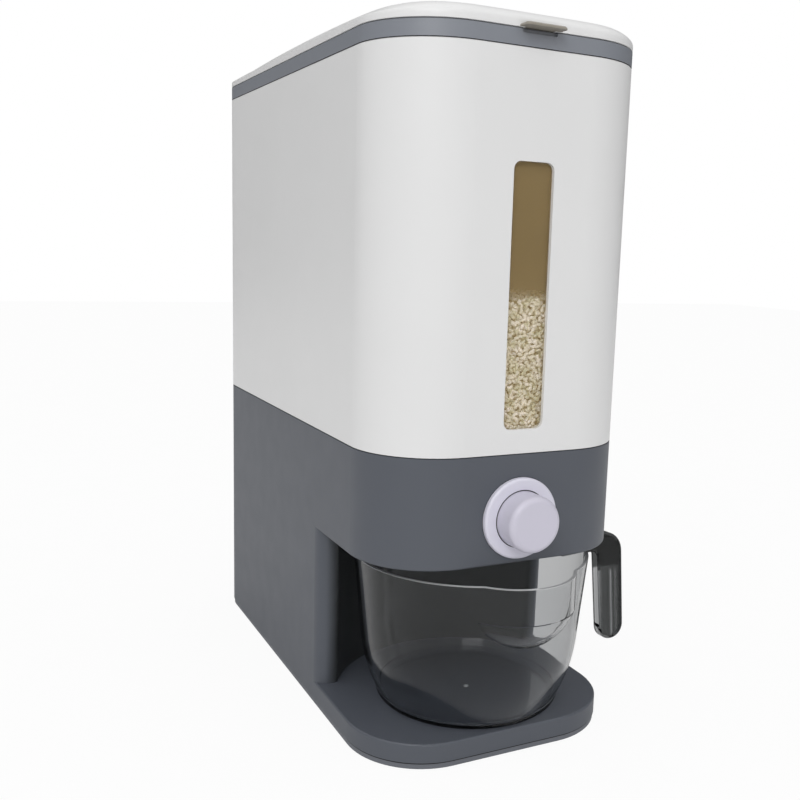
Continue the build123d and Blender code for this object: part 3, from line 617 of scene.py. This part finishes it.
def crowned_lid(material):
    """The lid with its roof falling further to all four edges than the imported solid's does."""
    bm = copied("lid_top")
    for axis, (cell, half) in enumerate(zip(LID_CELL, (HALF_WIDTH, REAR))):
        normal = Vector((axis == 0, axis == 1, 0))
        count = int(half / cell)
        for i in range(-count, count + 1):
            cut(bm, normal * i * cell, normal, LID_SNAP)
    for vert in bm.verts:
        x, y, z = vert.co
        sides = LID_LOWER[0] * (abs(x) / HALF_WIDTH) ** LID_FALL
        ends = LID_LOWER[1] * (abs(y) / REAR) ** LID_FALL
        vert.co.z = z - (sides + ends) * eased(z, *LID_RAMP)
    for edge in bm.edges:
        edge.smooth = edge.calc_face_angle() < CREASE
    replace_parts(put("lid_crown", bm, material, "lid"), "lid_top")


# ---------------------------------------------------------------- window
PANE_PROUD = 0.0003              # how far the pane's face stands before its flange


def deep_pane(material):
    """The pane with its face set back to its flange, so that the cut-out's pale edges show."""
    bm = copied("window_pane")
    face, flange = sorted({round(vert.co.y, 5) for vert in bm.verts})[:2]
    for vert in bm.verts:
        if abs(vert.co.y - face) < abs(vert.co.y - flange):
            vert.co.y = flange - PANE_PROUD
    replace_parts(put("pane_deep", bm, material, "base", smooth=False), "window_pane")


# ---------------------------------------------------------------- cup
CUP_MIDDLE = (0.0015, -0.1030)
ABOVE_CUP = 0.1
GATE_MARK = (                    # radius, and height over the cup's floor
    (0.0019, -0.0002),
    (0.0018, 0.0001),
    (0.0014, 0.0003),
    (0.0008, 0.0004),
)


def gate_mark(material, sides=24):
    """Small pip in the middle of the cup's floor, where its moulding was fed."""
    above = Vector((*CUP_MIDDLE, ABOVE_CUP))
    found, floor, _, _ = NODES["measuring_cup"].ray_cast(above, Vector((0, 0, -1)))
    assert found, "the cup has no floor under its middle"
    bm = bmesh.new()
    loops = []
    for radius, up in GATE_MARK:
        loops.append([bm.verts.new(floor + Vector((x, y, up))) for x, y in circle(radius, sides)])
    bm.faces.new(loops[0][::-1])
    bm.faces.new(loops[-1])
    for low, high in zip(loops, loops[1:]):
        bridge(bm, low, high)
    put("gate_mark", bm, material, "cup")


def button_spring(material):
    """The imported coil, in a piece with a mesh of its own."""
    piece = put("button_spring", copied("return_spring", weld=False), material, "base")
    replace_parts(piece, "return_spring")
    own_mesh(piece)


# ---------------------------------------------------------------- rice
RICE_TOP = 0.2635
BULK_UNDER = 0.0015              # the bulk's level lies this far under the grains'
BIN_FRONT, BIN_REAR = -0.1515, 0.1572
BIN_SIDE = 0.0797                # inside of the bin wall, less a little
FRONT_ROUND, REAR_ROUND = 0.040, 0.0223
BIN_STEPS = 10
SLOPE_LOW = 0.1501
OUTLET = (0.022, -0.1065, -0.0935)    # half its width, its front and its rear
SLOPES = (38.0, 45.0, 27.0)      # degrees at the front, the sides and the rear
SLOPE_CLEAR = 0.0008
SLOPE_SNAP = 1e-6

GRAIN_LONG = (0.0026, 0.0036)
GRAIN_WIDE = (0.0018, 0.0022)
GRAIN_FLAT = 0.86                # a grain's thickness, as a share of its width
GRAIN_BLUNT = 0.62               # power of its ends' roundness
SEED = 7

LAYERS, ROWS, COLUMNS = 3, 38, 12
FIRST_LAYER, LAYER_STEP = 0.0013, 0.0018
GRAIN_STEP = (0.0030, 0.0021)    # from column to column and from row to row
LOWEST_ROW = 0.1865
LEAN, TILT, LEVEL_TILT = 10, 55, 12    # degrees
HEAP_WAVES = (                   # height, pace and start of the waves in the level at the pane
    (0.0012, 260, 0),
    (0.0008, 700, 2),
)
HEAP_UNDER = 0.001

SCATTERED = 1900                 # tries at a grain on top of the bulk
SCATTER_UNDER = 0.0008
SCATTER_CLEAR = 0.004


def bin_plan():
    """Inside of the bin seen from above; its front stands back from the pane."""
    return round_plan((
        (BIN_SIDE - REAR_ROUND, BIN_REAR - REAR_ROUND, REAR_ROUND),
        (REAR_ROUND - BIN_SIDE, BIN_REAR - REAR_ROUND, REAR_ROUND),
        (FRONT_ROUND - BIN_SIDE, BIN_FRONT + FRONT_ROUND, FRONT_ROUND),
        (BIN_SIDE - FRONT_ROUND, BIN_FRONT + FRONT_ROUND, FRONT_ROUND),
    ), BIN_STEPS)


def inside_bin(x, y, margin):
    """Whether a point lies within the bin's plan, by more than the margin."""
    radius = REAR_ROUND if y > 0 else FRONT_ROUND
    over_x = abs(x) - BIN_SIDE + radius
    over_y = (y - BIN_REAR if y > 0 else BIN_FRONT - y) + radius
    return math.hypot(max(over_x, 0), max(over_y, 0)) < radius - margin


def slope_planes():
    """Point and inward normal of the four slopes of the hopper."""
    front, side, rear = (math.radians(a) for a in SLOPES)
    return [
        (Vector((0, OUTLET[1], SLOPE_LOW)), Vector((0, math.sin(front), math.cos(front)))),
        (Vector((0, OUTLET[2], SLOPE_LOW)), Vector((0, -math.sin(rear), math.cos(rear)))),
        (Vector((OUTLET[0], 0, SLOPE_LOW)), Vector((-math.sin(side), 0, math.cos(side)))),
        (Vector((-OUTLET[0], 0, SLOPE_LOW)), Vector((math.sin(side), 0, math.cos(side)))),
    ]


def rice_bulk(material):
    """The rice as one body, which fills the hopper up to its level."""
    bm = bmesh.new()
    plan = bin_plan()
    low = [bm.verts.new((x, y, SLOPE_LOW + SLOPE_CLEAR)) for x, y in plan]
    high = [bm.verts.new((x, y, RICE_TOP - BULK_UNDER)) for x, y in plan]
    bm.faces.new(high)
    bm.faces.new(low[::-1])
    bridge(bm, low, high)
    for point, normal in slope_planes():
        edges = cut(bm, point + normal * SLOPE_CLEAR, -normal, SLOPE_SNAP, clear_outer=True)
        bmesh.ops.holes_fill(bm, edges=edges)
    bmesh.ops.recalc_face_normals(bm, faces=bm.faces)
    put("rice_fill", bm, material, "base", smooth=False)


def grain_shape(bm, centre, turn, length, width, rings=5, sides=8):
    """One grain: a plump spindle with blunt ends."""
    ends = [bm.verts.new(centre + turn @ Vector((end * length / 2, 0, 0))) for end in (-1, 1)]
    loops = []
    for i in range(1, rings + 1):
        angle = math.pi * i / (rings + 1)
        x = -math.cos(angle) * length / 2
        radius = width / 2 * math.sin(angle) ** GRAIN_BLUNT
        points = [Vector((x, y, GRAIN_FLAT * z)) for y, z in circle(radius, sides)]
        loops.append([bm.verts.new(centre + turn @ point) for point in points])
    for k in range(sides):
        n = (k + 1) % sides
        bm.faces.new((ends[0], loops[0][n], loops[0][k]))
        bm.faces.new((ends[1], loops[-1][k], loops[-1][n]))
    for low, high in zip(loops, loops[1:]):
        bridge(bm, low, high)


def random_grain(draw):
    """A grain's length and width."""
    return draw.uniform(*GRAIN_LONG), draw.uniform(*GRAIN_WIDE)


def upright_turn(draw):
    """The turn of a grain that lies along the pane."""
    spin = Matrix.Rotation(draw.uniform(0, math.pi), 3, "X")
    lean = Matrix.Rotation(math.radians(draw.gauss(0, LEAN)), 3, "Z")
    return lean @ Matrix.Rotation(math.radians(draw.gauss(0, TILT)), 3, "Y") @ spin


def level_turn(draw):
    """The turn of a grain that lies on top of the rice."""
    spin = Matrix.Rotation(draw.uniform(0, math.pi), 3, "X")
    tip = Matrix.Rotation(math.radians(draw.gauss(0, LEVEL_TILT)), 3, "Y")
    return Matrix.Rotation(draw.uniform(0, math.pi), 3, "Z") @ tip @ spin


def heap_level(x):
    """Level of the rice at the pane, a little wavy across."""
    return sum((high * math.sin(x * pace + start) for high, pace, start in HEAP_WAVES), RICE_TOP)


def rice_grains(material):
    """Loose grains: three layers behind the pane, and a scatter over the top of the rice."""
    draw = random.Random(SEED)
    bm = bmesh.new()
    pane_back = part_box("window_pane")[1].y
    for layer in range(LAYERS):
        depth = pane_back + FIRST_LAYER + LAYER_STEP * layer
        for row in range(ROWS):
            for column in range(COLUMNS):
                x = (column - (COLUMNS - 1) / 2 + draw.uniform(-0.5, 0.5)) * GRAIN_STEP[0]
                z = LOWEST_ROW + (row + draw.uniform(-0.5, 0.5)) * GRAIN_STEP[1]
                turn = upright_turn(draw)
                length, width = random_grain(draw)
                if z < heap_level(x) - HEAP_UNDER:
                    grain_shape(bm, Vector((x, depth, z)), turn, length, width)
    for _ in range(SCATTERED):
        x, y = draw.uniform(-BIN_SIDE, BIN_SIDE), draw.uniform(BIN_FRONT, BIN_REAR)
        turn = level_turn(draw)
        length, width = random_grain(draw)
        point = Vector((x, y, RICE_TOP - SCATTER_UNDER))
        clear = all((point - p).dot(n) > SCATTER_CLEAR for p, n in slope_planes())
        if clear and inside_bin(x, y, SCATTER_CLEAR):
            grain_shape(bm, point, turn, length, width)
    put("rice_grains", bm, material, "base")


# ---------------------------------------------------------------- making it
make_camera()
make_floor()
make_world()
make_key()
dress_nodes()
# painted shade: near-black strips laid in the seams and in the button's gaps
make_shadows(moulded("seam_painted_shade", (14, 14, 15), rough=(0.6, 0.7), mottle=0.05))
crowned_lid(material_of("lid_top"))
deep_pane(material_of("window_pane"))
gate_mark(hazy("frosted", (200, 202, 204), alpha=0.35))
button_spring(material_of("return_spring"))
rice_bulk(rice_bed("rice_bed", (106, 108, 78)))
rice_grains(rice_skin("rice_grain", (247, 255, 230)))

bpy.context.scene.view_settings.view_transform = "Standard"
